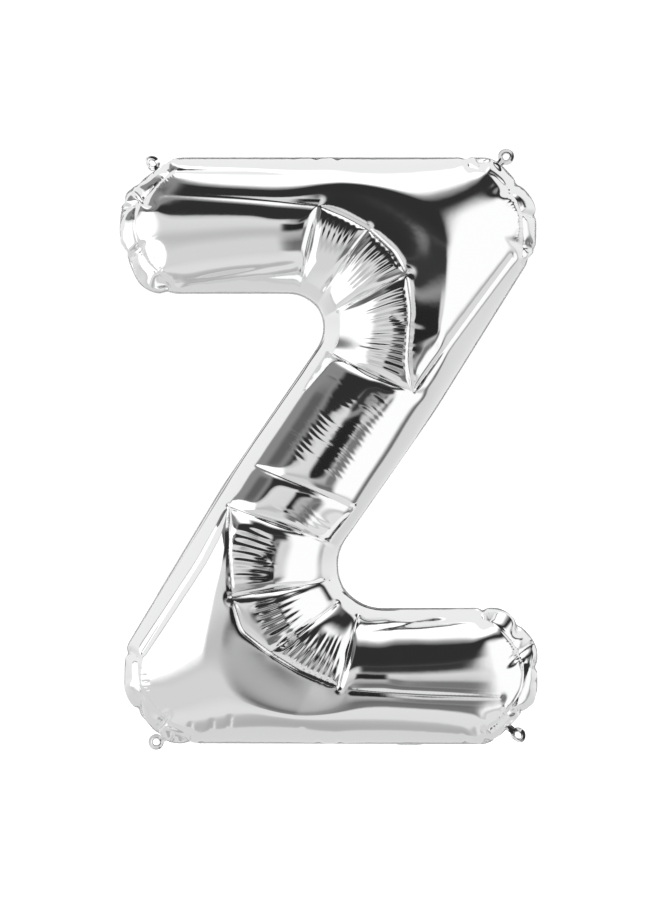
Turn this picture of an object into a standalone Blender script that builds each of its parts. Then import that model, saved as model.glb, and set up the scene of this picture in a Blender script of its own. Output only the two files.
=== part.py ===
# Foil letter balloon, a Z, as it floats: two foil panels, their sealed rim, hanging tabs and a filling tail.
# Metres, X to the right, Y to the back, Z up. The origin is the middle of the letter.

import math

import bpy
import numpy as np

# Corners of the inflated letter, clockwise from its top right end, with the fillet each is rounded by
outline_columns = ("x", "z", "fillet")
outline = [
    (0.2150, 0.3815, 0.040),
    (0.2700, 0.3230, 0.045),
    (0.2690, 0.2620, 0.050),
    (0.1380, 0.0520, 0.150),
    (-0.0413, -0.2045, 0.057),
    (0.2270, -0.2035, 0.035),
    (0.2710, -0.2500, 0.035),
    (0.2710, -0.3200, 0.035),
    (0.2120, -0.3810, 0.030),
    (-0.2130, -0.3800, 0.040),
    (-0.2670, -0.3170, 0.045),
    (-0.2650, -0.2560, 0.050),
    (-0.1380, -0.0450, 0.150),
    (0.0334, 0.2045, 0.045),
    (-0.2440, 0.2045, 0.040),
    (-0.2730, 0.2800, 0.060),
    (-0.2680, 0.3350, 0.045),
    (-0.2010, 0.3815, 0.040),
]
stroke_radius = 0.0885
arm_middle = 0.293
swelling = 0.85
greatest_height = 0.091
flattening = 10
fillet_points = 13
seam_samples = 6000
probe = 0.0005

# Foil, thicker than the real film so that each piece is a solid
wall = 0.002
rim_width = 0.004
rim_overlap = 0.0035
rim_thickness = 0.0012
rim_clearance = 0.0006

# Hanging tabs
tab_radius = 0.0104
tab_hole_radius = 0.00415
tab_thickness = 0.001
tab_foot_width = 0.013
tab_neck_angle = math.radians(18)
ear_points = 17
hole_points = 16
tab_columns = ("name", "centre_x", "centre_z", "root_x", "root_z")
tabs = [
    ("hang_tab_top_left", -0.2301, 0.3744, -0.2236, 0.3610),
    ("hang_tab_top_right", 0.2301, 0.3822, 0.2275, 0.3627),
    ("hang_tab_bottom_left", -0.2249, -0.3783, -0.2223, -0.3640),
    ("hang_tab_bottom_right", 0.2457, -0.3692, 0.2379, -0.3562),
]

# Filling tail, folded back under the lower arm
tail_x = 0.105
tail_width = 0.034
tail_thickness = 0.001
tail_clearance = 0.006
tail_turn = math.radians(52)
tail_steps = 9
film_width = 0.024
film_thickness = 0.0006
film_length = 0.009
piece_gap = 0.0003

# Pinches of the seam between its puffed lobes: x, z
pinch_columns = ("x", "z")
pinches = [
    (-0.203, 0.380),
    (-0.242, 0.349),
    (-0.258, 0.331),
    (-0.257, 0.245),
    (-0.211, 0.204),
    (0.200, 0.380),
    (0.240, 0.349),
    (0.263, 0.316),
    (0.258, 0.244),
    (0.200, -0.204),
    (0.238, -0.220),
    (0.267, -0.284),
    (0.255, -0.340),
    (-0.263, -0.270),
    (-0.244, -0.343),
    (-0.205, -0.378),
]
pinch_depth = 0.0045
pinch_reach = 0.007

# Crossings of the letter, from the left end of its upper arm to the right end of its lower arm:
# x, z where each meets the upper seam, x, z where it meets the lower seam, grid steps to the next
crossing_columns = ("upper_x", "upper_z", "lower_x", "lower_z", "steps")
crossings = [
    (-0.232, 0.356, -0.240, 0.218, 9),
    (-0.155, 0.381, -0.160, 0.2045, 5),
    (-0.070, 0.381, -0.075, 0.2045, 5),
    (0.0015, 0.381, -0.038, 0.2045, 7),
    (0.124, 0.381, -0.018, 0.188, 8),
    (0.268, 0.309, -0.008, 0.172, 7),
    (0.228, 0.196, -0.008, 0.155, 5),
    (0.140, 0.058, -0.012, 0.1335, 6),
    (0.100, -0.002, -0.062, 0.065, 6),
    (0.048, -0.078, -0.113, -0.012, 4),
    (0.016, -0.123, -0.150, -0.063, 6),
    (0.008, -0.160, -0.230, -0.202, 7),
    (0.014, -0.190, -0.238, -0.365, 8),
    (0.026, -0.200, -0.120, -0.381, 4),
    (0.038, -0.2045, -0.007, -0.381, 6),
    (0.110, -0.2045, 0.100, -0.381, 5),
    (0.165, -0.204, 0.160, -0.381, 9),
    (0.242, -0.222, 0.240, -0.353, 0),
]
steps_across = 24
middle_bunching = 0.5
end_fade_rows = 3.0

# Creases of the filled elbows, each from its outer end to the inner corner: x, z and depth of points, reach
crease_columns = ("points", "reach")
creases = [
    (((-0.014, 0.312, 0.005), (-0.025, 0.261, 0.012), (-0.036, 0.214, 0.003)), 0.009),
    (((0.050, 0.280, 0.006), (0.017, 0.235, 0.011), (-0.016, 0.190, 0.003)), 0.009),
    (((0.098, 0.225, 0.007), (0.046, 0.198, 0.012), (-0.005, 0.174, 0.003)), 0.009),
    (((0.106, 0.075, 0.008), (0.050, 0.100, 0.013), (-0.005, 0.130, 0.003)), 0.009),
    (((-0.104, -0.016, 0.001), (-0.037, -0.042, 0.004), (0.027, -0.072, 0.001)), 0.009),
    (((-0.128, -0.071, 0.006), (-0.062, -0.093, 0.012), (0.005, -0.119, 0.003)), 0.009),
    (((-0.122, -0.185, 0.007), (-0.059, -0.174, 0.012), (-0.001, -0.166, 0.003)), 0.009),
    (((-0.071, -0.253, 0.007), (-0.033, -0.227, 0.011), (0.009, -0.196, 0.003)), 0.009),
    (((0.014, -0.299, 0.005), (0.024, -0.258, 0.012), (0.036, -0.214, 0.003)), 0.009),
    # The fold round each elbow, between the bent stroke and the bag of its corner
    (((-0.014, 0.312, 0.005), (0.020, 0.298, 0.006), (0.052, 0.280, 0.007), (0.081, 0.253, 0.008),
      (0.098, 0.223, 0.009), (0.104, 0.178, 0.008), (0.100, 0.115, 0.007), (0.106, 0.075, 0.008)), 0.018),
    (((-0.128, -0.071, 0.006), (-0.127, -0.126, 0.007), (-0.122, -0.185, 0.009), (-0.109, -0.227, 0.008),
      (-0.075, -0.254, 0.007), (-0.037, -0.278, 0.006), (0.014, -0.299, 0.005)), 0.018),
]
crease_samples = 60
deepest_share = 0.5

silver = (0.86, 0.87, 0.88)
clear_film = (0.90, 0.92, 0.94)


def clear_scene():
    for obj in list(bpy.data.objects):
        bpy.data.objects.remove(obj)


def collection_named(name):
    collection = bpy.data.collections.new(name)
    bpy.context.scene.collection.children.link(collection)
    return collection


def material_named(name, colour, roughness, metallic):
    material = bpy.data.materials.new(name)
    material.use_nodes = True
    shader = material.node_tree.nodes["Principled BSDF"]
    shader.inputs["Base Color"].default_value = (*colour, 1.0)
    shader.inputs["Roughness"].default_value = roughness
    shader.inputs["Metallic"].default_value = metallic
    return material


class Seam:
    """The closed outline of the inflated letter: straight runs joined by fillets, clockwise."""

    def __init__(self, rows):
        spots = np.array([row[:2] for row in rows])
        points = []
        for i, (x, z, radius) in enumerate(rows):
            before = spots[i - 1] - spots[i]
            after = spots[(i + 1) % len(rows)] - spots[i]
            before = before / np.linalg.norm(before)
            after = after / np.linalg.norm(after)
            half_angle = math.acos(float(before @ after)) / 2
            bisector = (before + after) / np.linalg.norm(before + after)
            centre = spots[i] + bisector * radius / math.sin(half_angle)
            start = spots[i] + before * radius / math.tan(half_angle)
            sweep = math.pi - 2 * half_angle
            side = np.sign(before[0] * after[1] - before[1] * after[0])
            for angle in np.linspace(0, -side * sweep, fillet_points):
                turn = np.array([[math.cos(angle), -math.sin(angle)], [math.sin(angle), math.cos(angle)]])
                points.append(centre + turn @ (start - centre))
        points = np.array(points)
        steps = np.linalg.norm(np.roll(points, -1, 0) - points, axis=1)
        self.points = np.vstack([points, points[:1]])
        self.lengths = np.concatenate([[0], np.cumsum(steps)])
        self.total = float(self.lengths[-1])

    def along(self, spot):
        """Length along the seam of the place nearest to a spot."""
        dense = np.linspace(0, self.total, seam_samples, endpoint=False)
        return float(dense[np.argmin(np.linalg.norm(self.place(dense) - np.array(spot), axis=1))])

    def place(self, lengths):
        lengths = np.mod(lengths, self.total)
        return np.stack([np.interp(lengths, self.lengths, self.points[:, k]) for k in (0, 1)], axis=-1)

    def outward(self, lengths):
        ahead = self.place(lengths + probe) - self.place(lengths - probe)
        ahead = ahead / np.linalg.norm(ahead, axis=-1, keepdims=True)
        return np.stack([-ahead[..., 1], ahead[..., 0]], axis=-1)

    def pinched(self, lengths, pinch_lengths, offset):
        """Places on the seam moved outwards by offset, drawn in at each pinch."""
        depth = np.zeros_like(lengths)
        for pinch in pinch_lengths:
            away = np.abs((lengths - pinch + self.total / 2) % self.total - self.total / 2)
            depth += pinch_depth * np.exp(-away / pinch_reach)
        return self.place(lengths) + self.outward(lengths) * (offset - depth)[..., None]


def station_lengths(seam):
    """Lengths along the seam of the upper and the lower end of each row of the grid."""
    upper = [seam.along(row[:2]) for row in crossings]
    lower = [seam.along(row[2:4]) for row in crossings]
    upper = np.unwrap(upper, period=seam.total)
    lower = np.unwrap(lower, period=seam.total)
    last = len(crossings) - 2
    upper_all, lower_all = [upper[0]], [lower[0]]
    for i, row in enumerate(crossings[:-1]):
        share = np.linspace(0, 1, row[4] + 1)[1:]
        if i == 0:
            share = 1 - np.cos(math.pi * share / 2)
        if i == last:
            share = np.sin(math.pi * share / 2)
        upper_all.extend(upper[i] + (upper[i + 1] - upper[i]) * share)
        lower_all.extend(lower[i] + (lower[i + 1] - lower[i]) * share)
    return np.array(upper_all), np.array(lower_all)


def end_lengths(seam, upper, lower, way):
    """Lengths along the seam around an arm end, from the upper end of a row to its lower end."""
    reach = (lower - upper) % seam.total if way > 0 else -((upper - lower) % seam.total)
    return upper + reach * np.linspace(0, 1, steps_across + 1)


def letter_grid(seam, pinch_lengths):
    """Places in the plane of the letter, rows along it and columns across it, all edges on the seam."""
    upper, lower = station_lengths(seam)
    even = np.linspace(0, 1, steps_across + 1)
    across = even + ((1 - np.cos(math.pi * even)) / 2 - even) * middle_bunching
    first = seam.pinched(upper, pinch_lengths, -rim_width)
    last = seam.pinched(lower, pinch_lengths, -rim_width)
    grid = first[:, None] + (last - first)[:, None] * across[None, :, None]
    fade = np.exp(-np.arange(len(upper)) / end_fade_rows)[:, None, None]
    left_end = seam.pinched(end_lengths(seam, upper[0], lower[0], -1), pinch_lengths, -rim_width)
    right_end = seam.pinched(end_lengths(seam, upper[-1], lower[-1], 1), pinch_lengths, -rim_width)
    left_bulge = left_end - grid[0]
    right_bulge = right_end - grid[-1]
    return grid + fade * left_bulge + fade[::-1] * right_bulge


def quad_corners(rows, columns):
    corner = np.arange(rows * columns).reshape(rows, columns)
    quads = [corner[:-1, :-1], corner[1:, :-1], corner[1:, 1:], corner[:-1, 1:]]
    return np.stack([q.ravel() for q in quads], axis=1)


def puffed_heights(grid):
    """Half thickness of the inflated letter: the square root of twice the solution of Poisson's equation,
    held back where the strokes meet and the foil can't swell as far."""
    rows, columns = grid.shape[:2]
    spots = grid.reshape(-1, 2)
    quads = quad_corners(rows, columns)
    triangles = np.concatenate([quads[:, [0, 1, 2]], quads[:, [0, 2, 3]]])
    stiffness = np.zeros((len(spots), len(spots)))
    load = np.zeros(len(spots))
    a, b, c = (spots[triangles[:, k]] for k in range(3))
    area = np.abs((b - a)[:, 0] * (c - a)[:, 1] - (b - a)[:, 1] * (c - a)[:, 0]) / 2
    edges = [c - b, a - c, b - a]
    for i in range(3):
        np.add.at(load, triangles[:, i], area / 3)
        for j in range(3):
            pull = (edges[i] * edges[j]).sum(1) / (4 * area)
            np.add.at(stiffness, (triangles[:, i], triangles[:, j]), pull)
    inside = np.zeros((rows, columns), bool)
    inside[1:-1, 1:-1] = True
    inside = inside.ravel()
    solved = np.zeros(len(spots))
    solved[inside] = np.linalg.solve(stiffness[np.ix_(inside, inside)], load[inside])
    heights = swelling * np.sqrt(2 * solved).reshape(rows, columns)
    heights = heights / (1 + (heights / greatest_height) ** flattening) ** (1 / flattening)
    return heights - np.minimum(crease_drop(grid), deepest_share * heights)


def crease_drop(places):
    """How far the foil sinks at each place: the deepest of the creases, each fading away from its line."""
    drop = np.zeros(places.shape[:-1])
    for points, reach in creases:
        points = np.array(points)
        steps = np.linalg.norm(np.diff(points[:, :2], axis=0), axis=1)
        lengths = np.concatenate([[0], np.cumsum(steps)])
        along = np.linspace(0, lengths[-1], crease_samples)
        x, z, depth = (np.interp(along, lengths, points[:, k]) for k in range(3))
        away = np.hypot(places[..., 0, None] - x, places[..., 1, None] - z)
        drop = np.maximum(drop, (depth * np.exp(-away / reach)).max(axis=-1))
    return drop


def finished(obj, material, collection, smooth=True):
    obj.data.materials.append(material)
    collection.objects.link(obj)
    if smooth and obj.type == "MESH":
        obj.data.shade_smooth()
    return obj


def make_panel(name, grid, heights, side, material, collection):
    """One foil panel, an open dish as thick as the wall. The side is -1 for the front and 1 for the back."""
    lift = side * (heights + rim_thickness / 2 + rim_clearance)
    points = np.stack([grid[..., 0], lift, grid[..., 1]], axis=-1).reshape(-1, 3)
    faces = quad_corners(*grid.shape[:2])
    if side > 0:
        faces = faces[:, ::-1]
    mesh = bpy.data.meshes.new(name)
    mesh.from_pydata(points.tolist(), [], faces.tolist())
    obj = finished(bpy.data.objects.new(name, mesh), material, collection)
    shell = obj.modifiers.new("Wall", "SOLIDIFY")
    shell.thickness = wall
    shell.offset = -1.0
    return obj


def flat_outline(name, loops, thickness, material, collection):
    """A flat sheet in the XZ plane from closed loops of points, the first its edge and the rest its holes."""
    curve = bpy.data.curves.new(name, "CURVE")
    curve.dimensions = "2D"
    curve.fill_mode = "BOTH"
    curve.extrude = thickness / 2
    for loop in loops:
        spline = curve.splines.new("POLY")
        spline.points.add(len(loop) - 1)
        for point, (x, z) in zip(spline.points, loop):
            point.co = (x, z, 0.0, 1.0)
        spline.use_cyclic_u = True
    obj = finished(bpy.data.objects.new(name, curve), material, collection)
    obj.rotation_euler = (math.radians(90), 0.0, 0.0)
    return obj


def rim_lengths(seam):
    """Where the rim has its points: the ends of every row of the grid, and both arm ends."""
    upper, lower = station_lengths(seam)
    left = end_lengths(seam, upper[0], lower[0], -1)[1:-1]
    right = end_lengths(seam, upper[-1], lower[-1], 1)[1:-1]
    return np.concatenate([upper, right, lower[::-1], left[::-1]])


def rim_edge(seam, pinch_lengths):
    return seam.pinched(rim_lengths(seam), pinch_lengths, 0.0)


def make_rim(seam, pinch_lengths, material, collection):
    outer = rim_edge(seam, pinch_lengths)
    inner = seam.pinched(rim_lengths(seam), pinch_lengths, -rim_width - rim_overlap)
    return flat_outline("seam_rim", [outer, inner], rim_thickness, material, collection)


def foot_on_edge(edge, root):
    """The stretch of the rim's edge under a tab, a gap away from it, in the edge's own direction."""
    closed = np.vstack([edge, edge[:1]])
    lengths = np.concatenate([[0], np.cumsum(np.linalg.norm(np.diff(closed, axis=0), axis=1))])
    dense = np.linspace(0, lengths[-1], seam_samples, endpoint=False)
    track = np.stack([np.interp(dense, lengths, closed[:, k]) for k in (0, 1)], axis=1)
    middle = dense[np.argmin(np.linalg.norm(track - root, axis=1))]
    start, end = middle - tab_foot_width / 2, middle + tab_foot_width / 2
    between = lengths[(lengths > start) & (lengths < end)]
    places = np.concatenate([[start], between, [end]])
    foot = np.stack([np.interp(places, lengths, closed[:, k]) for k in (0, 1)], axis=1)
    run = foot[-1] - foot[0]
    outward = np.array([-run[1], run[0]]) / np.linalg.norm(run)
    return foot + outward * piece_gap


def make_tab(row, edge, material, collection):
    """A hanging tab: a round foil ear with a punched hole, its foot on the rim."""
    name, centre_x, centre_z, root_x, root_z = row
    centre = np.array([centre_x, centre_z])
    foot = foot_on_edge(edge, np.array([root_x, root_z]))
    first, last = ((foot[k] - centre) for k in (-1, 0))
    start = math.atan2(first[1], first[0]) + tab_neck_angle
    end = math.atan2(last[1], last[0]) - tab_neck_angle
    sweep = (end - start) % (2 * math.pi)
    ear = [(math.cos(a), math.sin(a)) for a in start + sweep * np.linspace(0, 1, ear_points)]
    ear = centre + tab_radius * np.array(ear)
    hole = [(math.cos(a), math.sin(a)) for a in np.linspace(0, 2 * math.pi, hole_points, endpoint=False)]
    hole = centre + tab_hole_radius * np.array(hole)
    return flat_outline(name, [np.vstack([ear, foot]), hole], tab_thickness, material, collection)


def make_strip(name, start_angle, end_angle, radius, width, thickness, steps, material, collection):
    """A foil strip that follows the underside of the lower arm towards the back, about the arm's axis."""
    angles = np.linspace(start_angle, end_angle, steps + 1)
    rows = [
        [
            (tail_x + side * width / 2, swelling * radius * math.sin(a), -arm_middle - radius * math.cos(a))
            for side in (-1, 1)
        ]
        for a in angles
    ]
    mesh = bpy.data.meshes.new(name)
    points = [point for row in rows for point in row]
    faces = [(2 * i, 2 * i + 1, 2 * i + 3, 2 * i + 2) for i in range(steps)]
    mesh.from_pydata(points, [], faces)
    obj = finished(bpy.data.objects.new(name, mesh), material, collection, smooth=False)
    sheet = obj.modifiers.new("Sheet", "SOLIDIFY")
    sheet.thickness = thickness
    sheet.offset = 0.0
    return obj


def make_tail(foil, film, collection):
    radius = stroke_radius - rim_width + tail_clearance + tail_thickness / 2
    first = (rim_thickness / 2 + piece_gap) / radius
    make_strip("fill_tail", first, tail_turn, radius, tail_width, tail_thickness, tail_steps, foil, collection)
    begin = tail_turn + piece_gap / radius
    end = begin + film_length / radius
    make_strip("valve_film", begin, end, radius, film_width, film_thickness, 1, film, collection)


def main():
    clear_scene()
    balloon = collection_named("foil_letter_balloon")
    foil = material_named("silver_foil", silver, 0.08, 1.0)
    film = material_named("clear_valve_film", clear_film, 0.25, 0.0)
    seam = Seam(outline)
    pinch_lengths = [seam.along(spot) for spot in pinches]
    grid = letter_grid(seam, pinch_lengths)
    heights = puffed_heights(grid)
    make_panel("front_panel", grid, heights, -1, foil, balloon)
    make_panel("back_panel", grid, heights, 1, foil, balloon)
    make_rim(seam, pinch_lengths, foil, balloon)
    edge = rim_edge(seam, pinch_lengths)
    for row in tabs:
        make_tab(row, edge, foil, balloon)
    make_tail(foil, film, balloon)


main()
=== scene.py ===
import math
import time
import bpy
import numpy as np
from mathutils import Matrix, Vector
from mathutils.geometry import delaunay_2d_cdt


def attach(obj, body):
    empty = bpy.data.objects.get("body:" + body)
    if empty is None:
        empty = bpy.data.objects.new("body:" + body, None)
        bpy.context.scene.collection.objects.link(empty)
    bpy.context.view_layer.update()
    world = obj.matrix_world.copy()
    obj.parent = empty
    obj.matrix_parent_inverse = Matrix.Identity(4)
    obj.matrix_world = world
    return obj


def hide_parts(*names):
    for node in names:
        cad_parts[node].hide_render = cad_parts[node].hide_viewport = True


started = time.time()
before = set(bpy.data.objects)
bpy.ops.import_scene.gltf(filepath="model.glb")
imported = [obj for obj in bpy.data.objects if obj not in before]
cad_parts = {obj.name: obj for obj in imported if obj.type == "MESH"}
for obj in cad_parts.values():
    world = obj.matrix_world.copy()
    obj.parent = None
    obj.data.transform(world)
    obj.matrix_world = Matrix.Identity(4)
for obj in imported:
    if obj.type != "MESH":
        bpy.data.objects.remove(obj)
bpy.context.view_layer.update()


def report(words):
    print(f"[balloon] {time.time() - started:6.1f} s  {words}")


def linked(obj):
    bpy.context.scene.collection.objects.link(obj)
    return obj


def meshFrom(name, points, faces, material, smooth=True):
    mesh = bpy.data.meshes.new(name)
    mesh.from_pydata([tuple(p) for p in np.asarray(points).tolist()], [], np.asarray(faces).tolist())
    mesh.update()
    if smooth:
        mesh.shade_smooth()
    mesh.materials.append(material)
    return linked(bpy.data.objects.new(name, mesh))


def seated(piece, node):
    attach(piece, "root")
    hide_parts(node)


viewpoint = {
    "distance": 3.25,      # from the seam's plane, m
    "lens": 100.0,         # mm
    "film": 36.0,
    "aimX": 0.0013,
    "aimZ": 0.0013,
}


def makeCamera(v):
    data = bpy.data.cameras.new("productCamera")
    data.lens = v["lens"]
    data.sensor_width = v["film"]
    data.clip_end = 60.0
    camera = linked(bpy.data.objects.new("productCamera", data))
    camera.location = (v["aimX"], -v["distance"], v["aimZ"])
    camera.rotation_euler = (math.pi / 2, 0.0, 0.0)
    bpy.context.scene.camera = camera


makeCamera(viewpoint)

studio = {
    "floorHeight": -1.05,
    "floorSize": 30.0,
    "floorGlow": 0.75,
    # brightness of the room from straight down to straight up, by the sine of the elevation
    "column": [
        (-1.00, 0.45), (-0.96, 0.55), (-0.93, 0.80), (-0.72, 0.82), (-0.67, 0.20), (-0.50, 0.16),
        (-0.42, 0.30), (-0.34, 0.42), (-0.17, 0.56), (0.00, 0.74), (0.17, 0.78), (0.25, 0.60),
        (0.30, 0.03), (0.72, 0.03), (0.80, 0.40), (0.87, 1.25), (0.99, 1.30),
    ],
    # the paper behind the balloon: it brightens between these two sines, from the third value to the fourth
    "behind": (-0.60, 0.25, 0.72, 0.93),
    "behindFrom": (0.12, 0.22),             # y of the view at its soft edge
    # a dark band far behind: middle, half height, soft edge, brightness
    "farBand": (0.28, 0.11, 0.06, 0.04),
    "farBandFrom": (0.86, 0.92),
    # patches of the room: azimuth and elevation of the middle, half width, half height, soft edge, brightness
    "patches": {
        "wallLeft": (-90.0, 35.0, 50.0, 20.0, 14.0, 0.27),
        "wallLeftDeep": (-62.0, 30.0, 13.0, 10.0, 16.0, 0.12),
        "softboxLeft": (-70.0, -2.0, 30.0, 16.0, 8.0, 1.20),
        "darkNearCamera": (6.0, -4.0, 12.0, 8.0, 7.0, 0.02),
        "darkRight": (15.0, 12.0, 15.0, 7.0, 9.0, 0.04),
        "greyRight": (27.0, -17.0, 8.0, 8.0, 7.0, 0.20),
        "softboxRight": (62.0, -4.0, 27.0, 38.0, 14.0, 1.10),
        "softboxLow": (-56.0, -34.0, 50.0, 18.0, 20.0, 0.72),
    },
    # a lit white board beside the balloon, out of the picture: x, then its ends in y and z
    "board": (-0.75, (-0.75, 0.02), (-0.45, 0.20), 1.25),
}


def mathNode(tree, operation, first, second=None):
    # one operation on one or two values or sockets
    node = tree.nodes.new("ShaderNodeMath")
    node.operation = operation
    for place, value in enumerate((first, second)):
        if value is None:
            continue
        if isinstance(value, (int, float)):
            node.inputs[place].default_value = value
        else:
            tree.links.new(value, node.inputs[place])
    return node.outputs[0]


def smoothStep(tree, value, start, end, low=0.0, high=1.0):
    # low before start, high after end, an S curve between
    node = tree.nodes.new("ShaderNodeMapRange")
    node.interpolation_type = "SMOOTHSTEP"
    tree.links.new(value, node.inputs["Value"])
    for name, number in (("From Min", start), ("From Max", end), ("To Min", low), ("To Max", high)):
        node.inputs[name].default_value = number
    return node.outputs[0]


def inBand(tree, value, middle, half, soft):
    # 1 within half of the middle, 0 past it, with a soft edge
    off = mathNode(tree, "ABSOLUTE", mathNode(tree, "SUBTRACT", value, middle))
    return smoothStep(tree, off, half - soft / 2, half + soft / 2, 1.0, 0.0)


def blendValues(tree, amount, first, second):
    # first + amount * (second - first)
    node = tree.nodes.new("ShaderNodeMix")
    for place, value in ((0, amount), (2, first), (3, second)):
        if isinstance(value, (int, float)):
            node.inputs[place].default_value = value
        else:
            tree.links.new(value, node.inputs[place])
    return node.outputs[0]


def makeStudio(s):
    world = bpy.data.worlds.new("softStudio")
    bpy.context.scene.world = world
    world.use_nodes = True
    tree = world.node_tree
    tree.nodes.clear()
    place = tree.nodes.new("ShaderNodeTexCoord")
    axes = tree.nodes.new("ShaderNodeSeparateXYZ")
    tree.links.new(place.outputs["Generated"], axes.inputs[0])
    x, y, z = axes.outputs
    # the room in front of the balloon, a column of brightness by the sine of the elevation
    ramp = tree.nodes.new("ShaderNodeFloatCurve")
    curve = ramp.mapping.curves[0]
    column = s["column"]
    for point in curve.points[:2]:
        point.handle_type = "VECTOR"
    curve.points[0].location = ((column[0][0] + 1) / 2, column[0][1] / 2)
    curve.points[1].location = ((column[-1][0] + 1) / 2, column[-1][1] / 2)
    for sine, value in column[1:-1]:
        curve.points.new((sine + 1) / 2, value / 2).handle_type = "VECTOR"
    ramp.mapping.update()
    tree.links.new(mathNode(tree, "MULTIPLY_ADD", z, 0.5), ramp.inputs["Value"])
    ramp.inputs["Value"].links[0].from_node.inputs[2].default_value = 0.5
    light = mathNode(tree, "MULTIPLY", ramp.outputs[0], 2.0)
    # patches by azimuth, 0 towards the camera and rising to the right, and elevation
    degrees = 180.0 / math.pi
    azimuth = mathNode(tree, "MULTIPLY", mathNode(tree, "ARCTAN2", x, mathNode(tree, "MULTIPLY", y, -1.0)),
                       degrees)
    elevation = mathNode(tree, "MULTIPLY", mathNode(tree, "ARCSINE", z), degrees)
    for middleA, middleE, halfA, halfE, soft, value in s["patches"].values():
        inA, inE = inBand(tree, azimuth, middleA, halfA, soft), inBand(tree, elevation, middleE, halfE, soft)
        light = blendValues(tree, mathNode(tree, "MULTIPLY", inA, inE), light, value)
    # behind the balloon, where y points, there is only paper with a dark band far off
    paper = smoothStep(tree, z, *s["behind"])
    middle, half, soft, value = s["farBand"]
    dark = mathNode(tree, "MULTIPLY", inBand(tree, z, middle, half, soft),
                    smoothStep(tree, y, *s["farBandFrom"]))
    light = blendValues(tree, smoothStep(tree, y, *s["behindFrom"]), light,
                        blendValues(tree, dark, paper, value))
    # what the camera itself sees past the balloon is plain white
    path = tree.nodes.new("ShaderNodeLightPath")
    light = blendValues(tree, path.outputs["Is Camera Ray"], light, 1.05)
    shade = tree.nodes.new("ShaderNodeBackground")
    tree.links.new(light, shade.inputs["Color"])
    out = tree.nodes.new("ShaderNodeOutputWorld")
    tree.links.new(shade.outputs[0], out.inputs["Surface"])


def makeGlowing(name, corners, colour, glow):
    # one flat face of the studio that gives its own light
    paint = bpy.data.materials.new(name + "Paint")
    paint.use_nodes = True
    shader = paint.node_tree.nodes["Principled BSDF"]
    shader.inputs["Base Color"].default_value = (colour, colour, colour, 1)
    shader.inputs["Roughness"].default_value = 0.9
    shader.inputs["Specular IOR Level"].default_value = 0.0
    shader.inputs["Emission Color"].default_value = (1, 1, 1, 1)
    shader.inputs["Emission Strength"].default_value = glow
    return meshFrom(name, corners, [(0, 1, 2, 3)], paint, smooth=False)


def makeSet(s):
    half, deep = s["floorSize"] / 2, s["floorHeight"]
    corners = [(-half, -half, deep), (half, -half, deep), (half, half, deep), (-half, half, deep)]
    floor = makeGlowing("paleFloor", corners, 0.9, s["floorGlow"])
    floor.visible_glossy = False
    x, (near, far), (low, high), glow = s["board"]
    board = makeGlowing("whiteBoard", [(x, near, low), (x, far, low), (x, far, high), (x, near, high)],
                        0.0, glow)
    board.visible_camera = False
    board.visible_shadow = False


bpy.context.scene.view_settings.view_transform = "Standard"
makeStudio(studio)
makeSet(studio)
report("camera, studio and floor are in place")

foilLook = {
    "inputs": {"Base Color": (0.895, 0.897, 0.900, 1), "Metallic": 1.0},
    # cloudy changes of the roughness: clouds a metre, their detail, then the least and the most roughness
    "clouds": (9.0, 3.0, 0.045, 0.095),
    # faint waves that the film keeps from its roll: waves a metre, their detail and depth, m
    "dents": (1 / 0.011, 1.0, 0.00003),
}
# the weld has pressed the rim dull
rimLook = {**foilLook, "clouds": (9.0, 3.0, 0.40, 0.55)}
# clear film, faintly milky, with the haze and small dents of a handled sheet
clearLook = {
    "inputs": {"Base Color": (0.93, 0.95, 0.96, 1), "Transmission Weight": 0.85, "IOR": 1.3},
    "clouds": (160.0, 2.0, 0.12, 0.35),
    "dents": (160.0, 2.0, 0.0002),
}


def makeFilm(name, look):
    # noise on the object's own coordinates sets the roughness, a second one the bump
    material = bpy.data.materials.new(name)
    material.use_nodes = True
    tree = material.node_tree
    shader = tree.nodes["Principled BSDF"]
    for socket, value in look["inputs"].items():
        shader.inputs[socket].default_value = value
    place = tree.nodes.new("ShaderNodeTexCoord")
    clouds, dents = tree.nodes.new("ShaderNodeTexNoise"), tree.nodes.new("ShaderNodeTexNoise")
    for noise, kind in ((clouds, "clouds"), (dents, "dents")):
        noise.inputs["Scale"].default_value, noise.inputs["Detail"].default_value = look[kind][:2]
        tree.links.new(place.outputs["Object"], noise.inputs["Vector"])
    rough = tree.nodes.new("ShaderNodeMapRange")
    rough.inputs["To Min"].default_value, rough.inputs["To Max"].default_value = look["clouds"][2:]
    tree.links.new(clouds.outputs[0], rough.inputs["Value"])
    tree.links.new(rough.outputs[0], shader.inputs["Roughness"])
    bump = tree.nodes.new("ShaderNodeBump")
    bump.inputs["Distance"].default_value = look["dents"][2]
    tree.links.new(dents.outputs[0], bump.inputs["Height"])
    tree.links.new(bump.outputs[0], shader.inputs["Normal"])
    return material


foilMaterial = makeFilm("silverFoil", foilLook)
rimMaterial = makeFilm("weldedFoil", rimLook)
clearMaterial = makeFilm("clearValveFilm", clearLook)

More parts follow.
